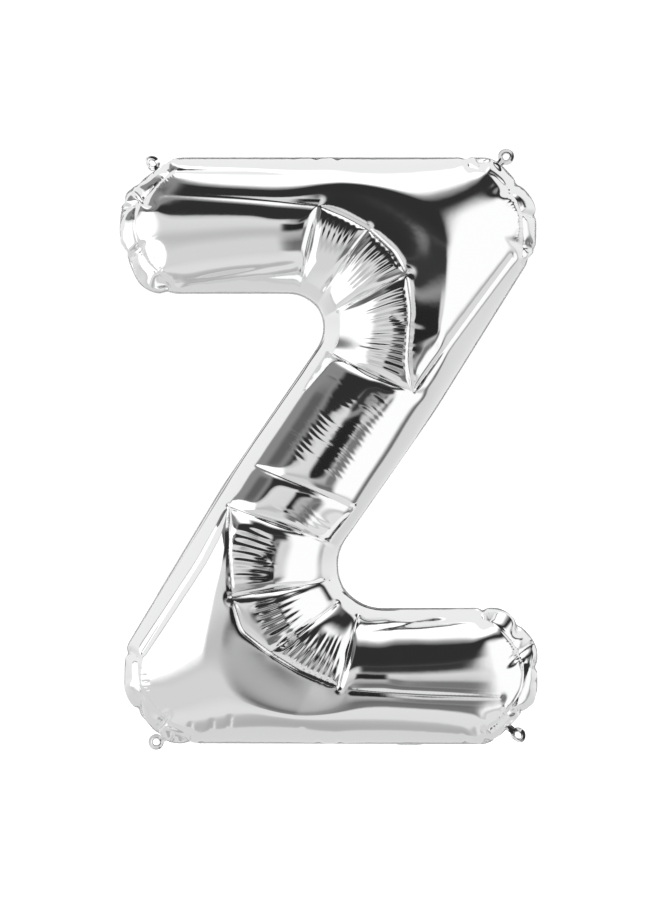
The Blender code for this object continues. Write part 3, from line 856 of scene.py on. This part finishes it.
def rippleHeight(x, z, table):
    # Ridges, each with its own height and its own two ends from a seeded draw, so that no two are
    # alike. A fan counts them by the angle about its corner, a ladder by the distance along its run.
    draw = np.random.default_rng(table["seed"])
    height = np.zeros_like(x)
    for cornerX, cornerZ, first, last, inner, outer, size, pitch in table["fans"].values():
        count = round((last - first) / pitch)
        away = np.hypot(x - cornerX, z - cornerZ)
        turn = np.degrees(np.arctan2(z - cornerZ, x - cornerX))
        turn = (turn - first + 180) % 360 - 180 + 0.35 * np.sin(away / 0.012)
        place = turn / (last - first) * count
        ridge = np.clip(np.floor(place).astype(int), 0, count - 1)
        tall, start, end = (draw.uniform(*limits, count)[ridge]
                            for limits in ((0.45, 1.25), (0, 0.3), (0, 0.12)))
        out = (away - inner) / (outer - inner)
        window = easing(out, start, start + 0.3) * (1 - easing(out, 0.9 - end, 1.0 - end / 2))
        height += ridged(place, count, window, size, tall)
    for middleX, middleZ, halfLong, halfWide, size, pitch, slant in table["ladders"].values():
        count = round(2 * halfLong / pitch)
        cosine, sine = math.cos(math.radians(slant)), math.sin(math.radians(slant))
        along = (x - middleX) * cosine + (z - middleZ) * sine
        across = (x - middleX) * sine - (z - middleZ) * cosine
        place = (along / halfLong + 1) / 2 * count + 0.25 * np.sin(across / 0.009)
        ridge = np.clip(np.floor(place).astype(int), 0, count - 1)
        tall, shift, wide = (draw.uniform(*limits, count)[ridge]
                             for limits in ((0.3, 1.3), (-0.35, 0.35), (0.4, 1)))
        window = 1 - easing(np.abs(across / halfWide - shift) / wide, 0.35, 1.0)
        height += ridged(place, count, window, size, tall)
    return height


def splitWhere(points, faces, border, chosen):
    # each chosen triangle gives four; a neighbour with one cut side gives two, with two cut sides three
    edges, which, uses = edgesOf(faces)
    cut = np.zeros(len(edges), bool)
    cut[which[chosen].ravel()] = True
    name = np.full(len(edges), -1)
    name[cut] = len(points) + np.arange(cut.sum())
    middle = name[which]
    cuts = (middle >= 0).sum(axis=1)
    made = [faces[cuts == 0]]
    full, mid = faces[cuts == 3], middle[cuts == 3]
    (a, b, c), (ab, bc, ca) = full.T, mid.T
    made += [np.stack(t, axis=1) for t in ((a, ab, ca), (ab, b, bc), (ca, bc, c), (ab, bc, ca))]
    for wanted in (1, 2):
        some, mid = faces[cuts == wanted], middle[cuts == wanted]
        first = (mid >= 0).argmax(axis=1) if wanted == 1 else ((mid < 0).argmax(axis=1) + 1) % 3
        order = (first[:, None] + np.arange(3)) % 3
        a, b, c = np.take_along_axis(some, order, axis=1).T
        ab, bc, _ = np.take_along_axis(mid, order, axis=1).T
        parts = ((a, ab, c), (ab, b, c)) if wanted == 1 else ((ab, b, bc), (a, ab, bc), (a, bc, c))
        made += [np.stack(t, axis=1) for t in parts]
    points = np.vstack([points, points[edges[cut]].mean(axis=1)])
    border = np.concatenate([border, uses[cut] == 1])
    return points, np.concatenate(made), border


def vertexNormals(points, faces):
    # the sum of the triangles' area vectors at each point, made one long
    a, b, c = (points[faces[:, k]] for k in range(3))
    areaVector = np.cross(b - a, c - a)
    normal = np.stack([sum(np.bincount(faces[:, k], areaVector[:, part], len(points)) for k in range(3))
                       for part in range(3)], axis=1)
    return normal / np.linalg.norm(normal, axis=1, keepdims=True)


def creased(net, filled, lines, table):
    # finer triangles where creases or ripples pass, then the
    # creases straight down and the ripples along the normals
    border = net["around"] >= 0
    x, z = filled[:, 0], filled[:, 2]
    near = (rippleHeight(x, z, table) > finer["ripple"]) | (creaseDrop(x, z, lines) > finer["crease"])
    points, faces, border = splitWhere(filled, net["faces"], border, near[net["faces"]].any(axis=1))
    near = creaseDrop(points[:, 0], points[:, 2], lines) > finer["deepCrease"]
    points, faces, border = splitWhere(points, faces, border, near[faces].all(axis=1))
    points = evened(points, faces, 1.0 * ~border, 4)
    x, z = points[:, 0], points[:, 2]
    points[:, 1] += np.minimum(creaseDrop(x, z, lines), -0.5 * points[:, 1]) * ~border
    lift = rippleHeight(x, z, table) * ~border
    return points + vertexNormals(points, faces) * lift[:, None], faces


filled = bent(net, filled, seam, elbows)
report("the elbows are bent round")
foilPoints, foilFaces = creased(net, filled, creases, ripples)
report(f"creased and rippled: {len(foilFaces)} triangles a panel")

frontFoil = meshFrom("frontFoil", foilPoints, foilFaces, foilMaterial)
backFoil = meshFrom("backFoil", foilPoints * (1, -1, 1), foilFaces[:, ::-1], foilMaterial)
seated(frontFoil, "front_panel")
seated(backFoil, "back_panel")

flange = {
    "width": 0.0014,       # outside the seam
    "tuck": 0.0012,        # between the two sheets
    "thickness": 0.00030,
    "flutter": 0.00012,    # how far it waves out of its plane
    "waveLength": 0.031,
    "waveDrift": (2.1, 9),  # the waves bunch up by this much, radians, this many times round
    "evening": 1500,       # passes for each metre outside the seam
}


def seamRing(net, filled):
    # the seam's points in order, and the unit normal outwards at each
    border = np.nonzero(net["around"] >= 0)[0]
    ring = filled[border[np.argsort(net["around"][border])]][:, [0, 2]]
    outward = outwardOf(ring, 3)
    turned = (ring[:, 0] * np.roll(ring[:, 1], -1) - np.roll(ring[:, 0], -1) * ring[:, 1]).sum()
    return ring, -outward if turned > 0 else outward


def makeSheet(name, points, closed, thickness, material, node):
    # A thin sheet over a grid of points, rows by columns, its last row joined
    # to the first where it is closed. Half of its thickness goes to each side.
    rows, columns = points.shape[:2]
    index = np.arange(rows * columns).reshape(rows, columns)
    ahead = np.roll(index, -1, axis=0)
    faces = np.stack([index[:, :-1], ahead[:, :-1], ahead[:, 1:], index[:, 1:]], axis=-1)
    piece = meshFrom(name, points.reshape(-1, 3), faces[:None if closed else -1].reshape(-1, 4), material)
    wall = piece.modifiers.new("filmThickness", "SOLIDIFY")
    wall.thickness = thickness
    wall.offset = 0.0
    seated(piece, node)


def makeFlange(ring, outward, size, material):
    # rows along the seam, columns across: seam + outward * offset, the outer ones evened out
    # round the notches, and lifted by a sine of the way round that grows to the free edge
    along = runOf(ring)
    whole = along[-1] + np.linalg.norm(ring[0] - ring[-1])
    waves = round(whole / size["waveLength"])
    drift, times = size["waveDrift"]
    lift = np.sin(2 * np.pi * waves * along / whole + drift * np.sin(2 * np.pi * times * along / whole))
    columns = []
    for offset in (-size["tuck"], 0.0, size["width"] / 2, size["width"]):
        line = ring + outward * offset
        for _ in range(round(max(offset, 0) * size["evening"])):
            line = (np.roll(line, 1, axis=0) + 2 * line + np.roll(line, -1, axis=0)) / 4
        height = lift * size["flutter"] * max(offset, 0) / size["width"]
        columns.append(np.stack([line[:, 0], height, line[:, 1]], axis=1))
    makeSheet("seamFlange", np.stack(columns, axis=1), True, size["thickness"], material,
              "seam_rim")


seamPoints, seamOutward = seamRing(net, filled)
makeFlange(seamPoints, seamOutward, flange, rimMaterial)
report("the flange is welded on")

ringTab = {
    "radius": 0.0104,
    "hole": 0.0041,
    "neckHalf": 0.0046,
    "thickness": 0.0004,
    "bead": (0.0004, 0.0012, 0.0006),   # the pressed ring round the hole: height, way from the hole, width
    "crimp": (0.00025, 0.0011),         # small creases along the neck: height, width
    "overlap": 0.0015,     # how far the neck reaches over the flange
    # name of the tab and its node, middle x and z, turn
    # about the neck and lean away from it, degrees, curl, m
    "tabs": {
        "ringTabTopLeft": ("hang_tab_top_left", -0.2301, 0.3744, 38.0, -8.0, 0.0022),
        "ringTabTopRight": ("hang_tab_top_right", 0.2301, 0.3822, -10.0, 6.0, 0.0007),
        "ringTabBottomLeft": ("hang_tab_bottom_left", -0.2249, -0.3783, 8.0, -6.0, 0.0006),
        "ringTabBottomRight": ("hang_tab_bottom_right", 0.2457, -0.3692, -36.0, 8.0, 0.0020),
    },
}


def makeTab(name, row, ring, size, material):
    # A flat ear about its hole, in polar form: radius runs from the hole to an edge that is the
    # ear's circle, or the neck where that reaches further:
    # min(neck length / cos a, neck half width / sin a), a counted from the neck. It is turned about
    # the neck's line by an angle that fades out at the root, and curled like a trough.
    node, middleX, middleZ, turn, lean, curl = row
    middle = np.array([middleX, middleZ])
    root = ring[np.argmin(((ring - middle) ** 2).sum(axis=1))]
    neck = (root - middle) / np.linalg.norm(root - middle)
    side = np.array([-neck[1], neck[0]])
    length = np.linalg.norm(root - middle) + size["overlap"]
    angle = np.linspace(-np.pi, np.pi, 96, endpoint=False)
    cosine, sine = np.maximum(np.cos(angle), 1e-6), np.maximum(np.abs(np.sin(angle)), 1e-6)
    straight = np.where(np.cos(angle) > 0, np.minimum(length / cosine, size["neckHalf"] / sine), 0)
    edge = np.maximum(size["radius"], straight)
    share = np.linspace(0, 1, 11)[None, :]
    radius = size["hole"] + (edge[:, None] - size["hole"]) * share
    u = radius * np.cos(angle)[:, None]          # along the neck, positive towards the balloon
    v = radius * np.sin(angle)[:, None]          # across it
    free = np.clip((length - u) / length, 0, 2)
    tall, off, wide = size["bead"]
    bead = tall * np.exp(-((radius - size["hole"] - off) / wide) ** 2)
    tall, wide = size["crimp"]
    crimp = tall * np.sin(v / wide) * np.clip((u - 0.2 * size["radius"]) / size["radius"], 0, 1)
    lift = curl * (v / size["radius"]) ** 2 * free + bead + crimp
    roll = math.radians(turn) * np.clip(free, 0, 1)
    across = v * np.cos(roll) + lift * np.sin(roll)
    out = -v * np.sin(roll) + lift * np.cos(roll) + math.tan(math.radians(lean)) * (length - u)
    place = middle + u[..., None] * neck + across[..., None] * side
    points = np.stack([place[..., 0], -out, place[..., 1]], axis=-1)
    makeSheet(name, points, True, size["thickness"], material, node)


for name, row in ringTab["tabs"].items():
    makeTab(name, row, seamPoints, ringTab, foilMaterial)
report("the hanging tabs are on")

tail = {
    "middleX": 0.105,
    "radius": 0.0905,      # it follows the lower stroke's underside
    "axisZ": -0.2915,
    "flatten": 0.85,       # the lower stroke is that much thinner than it is tall
    "weld": 0.0030,        # the crimped margin along both sides
    "crimp": 0.0016,       # from tooth to tooth
    "puff": 0.0012,        # of its middle
    "wave": 0.0010,        # at its free end
    "taper": 0.06,
    # node, slot, first and last angle round the stroke from
    # the seam to the back, degrees, width, thickness, tooth
    "fillTail": ("fill_tail", "silver_foil", 3.0, 52.0, 0.034, 0.0004, 0.00018),
    "valveFilm": ("valve_film", "clear_film", 51.0, 57.698, 0.024, 0.0002, 0.0),
}


def makeStrip(name, size, material):
    # A strip round the stroke's axis: z = axis - r cos a, y = flatten * r sin a, r swelling
    # in the middle of its width as two sheets do that aren't stuck there, with the welded
    # margins pressed flat and finely crimped.
    node, slot, start, end, width, thickness, tooth = size[name]
    angle = np.radians(np.linspace(start, end, 61))[:, None]
    across = np.linspace(-1, 1, 41)[None, :]
    run = (angle - angle[0]) / (angle[-1] - angle[0])
    margin = np.clip((1 - np.abs(across)) * width / 2 / size["weld"], 0, 1)
    puff = size["puff"] * margin * (1 - across ** 2) * (1 - 0.5 * run)
    teeth = tooth * (1 - margin) * np.sin(angle * size["radius"] * 2 * np.pi / size["crimp"])
    wave = size["wave"] * run * np.sin(2.6 * across + 4 * run)
    radius = size["radius"] + puff + teeth + wave
    x = size["middleX"] + across * width / 2 * (1 - size["taper"] * run)
    points = np.stack([x, radius * np.sin(angle) * size["flatten"],
                       size["axisZ"] - radius * np.cos(angle)], axis=-1)
    makeSheet(name, points, False, thickness, material, node)


makeStrip("fillTail", tail, foilMaterial)
makeStrip("valveFilm", tail, clearMaterial)
report("the filling tail hangs behind")
